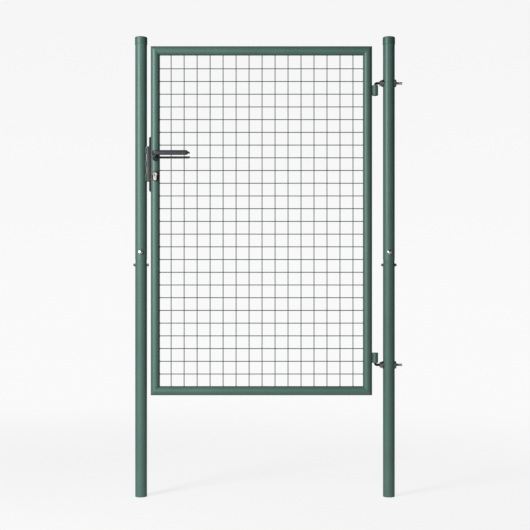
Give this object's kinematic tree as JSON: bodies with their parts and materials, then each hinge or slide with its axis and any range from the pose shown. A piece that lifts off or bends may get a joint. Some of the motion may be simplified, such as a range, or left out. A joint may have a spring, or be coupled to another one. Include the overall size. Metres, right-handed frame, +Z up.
{
  "type": "mesh garden gate with posts",
  "caption": "Single-leaf welded-mesh gate in a round tube frame, hung on hook-bolt hinges between two round posts, with a lever lock.",
  "frame": {"origin": "on the ground under the middle of the whole object's box", "axes": "+Z up along the posts; +X from the lock side to the hinge side; the front face looks along -Y"},
  "size_m": [1.0358, 0.169, 1.769],
  "materials": {
    "green_coat": "green powder coat, satin with fine orange peel",
    "zinc_plate": "bright zinc plate",
    "nickel_plate": "warm satin nickel plate",
    "black_coat": "black satin coat",
    "black_plastic": "black moulded plastic",
    "bare_steel": "plain steel",
    "keep_paint": "dark brown-grey paint"
  },
  "bodies": {
    "posts": {"left_post_lower_tube": "green_coat", "left_post_upper_tube": "green_coat", "left_post_sleeve": "bare_steel", "left_post_cap": "green_coat", "left_post_through_bolt": "zinc_plate", "left_post_through_nut": "zinc_plate", "left_post_cross_bolt": "zinc_plate", "left_post_cross_nut": "zinc_plate", "right_post_lower_tube": "green_coat", "right_post_upper_tube": "green_coat", "right_post_sleeve": "bare_steel", "right_post_cap": "green_coat", "right_post_through_bolt": "zinc_plate", "right_post_through_nut": "zinc_plate", "right_post_cross_bolt": "zinc_plate", "right_post_cross_nut": "zinc_plate", "upper_hinge_hook": "zinc_plate", "upper_hinge_saddle": "zinc_plate", "upper_hinge_saddle_nut": "zinc_plate", "upper_hinge_washer": "zinc_plate", "upper_hinge_nut": "zinc_plate", "lower_hinge_hook": "zinc_plate", "lower_hinge_saddle": "zinc_plate", "lower_hinge_saddle_nut": "zinc_plate", "lower_hinge_washer": "zinc_plate", "lower_hinge_nut": "zinc_plate", "latch_keep": "keep_paint"},
    "gate_leaf": {"top_rail": "green_coat", "bottom_rail": "green_coat", "lock_stile": "green_coat", "hinge_stile": "green_coat", "mesh_panel": "green_coat", "upper_hinge_barrel": "green_coat", "lower_hinge_barrel": "green_coat", "lock_faceplate": "black_coat", "upper_faceplate_screw": "zinc_plate", "lower_faceplate_screw": "zinc_plate", "lock_case": "bare_steel", "lock_case_cover": "bare_steel", "latch_spring": "bare_steel", "cylinder_body": "nickel_plate", "cylinder_fixing_screw": "zinc_plate", "front_lever_rosette": "black_plastic", "rear_lever_rosette": "black_plastic", "front_key_rosette": "black_plastic", "rear_key_rosette": "black_plastic"},
    "lever_set": {"front_lever": "black_coat", "rear_lever": "black_coat", "lever_spindle": "zinc_plate", "lever_hub": "bare_steel"},
    "latch": {"latch_bolt": "zinc_plate"},
    "key_cam": {"front_key_plug": "nickel_plate", "cylinder_cam": "bare_steel"},
    "rear_plug": {"rear_key_plug": "nickel_plate"},
    "lock_bolt": {"deadbolt": "zinc_plate"}
  },
  "joints": [
    {"name": "gate_swing", "type": "hinge", "parent": "posts", "child": "gate_leaf", "pos_m": [0.4134, 0, 0.5338], "axis": [0, 0, -1], "range_deg": [0, 100]},
    {"name": "lever_turn", "type": "hinge", "parent": "gate_leaf", "child": "lever_set", "pos_m": [-0.4307, 0, 1.309], "axis": [0, 1, 0], "range_deg": [0, 35], "stiffness_Nm_per_rad": 1.5, "springref_deg": -22.92},
    {"name": "latch_slide", "type": "slide", "parent": "gate_leaf", "child": "latch", "axis": [1, 0, 0], "range_m": [0, 0.008], "deforming": ["latch_spring"]},
    {"name": "key_turn", "type": "hinge", "parent": "gate_leaf", "child": "key_cam", "pos_m": [-0.4307, 0, 1.237], "axis": [0, -1, 0], "range_deg": [0, 180]},
    {"name": "deadbolt_slide", "type": "slide", "parent": "gate_leaf", "child": "lock_bolt", "axis": [-1, 0, 0], "range_m": [0, 0.014]},
    {"name": "rear_key_turn", "type": "hinge", "parent": "gate_leaf", "child": "rear_plug", "pos_m": [-0.4307, 0, 1.237], "axis": [0, 1, 0], "range_deg": [0, 180]}
  ],
  "couplings": [
    {"joint": "latch_slide", "follows": "lever_turn", "m_per_rad": 0.013096},
    {"joint": "key_turn", "follows": "deadbolt_slide", "rad_per_m": 224.4}
  ]
}
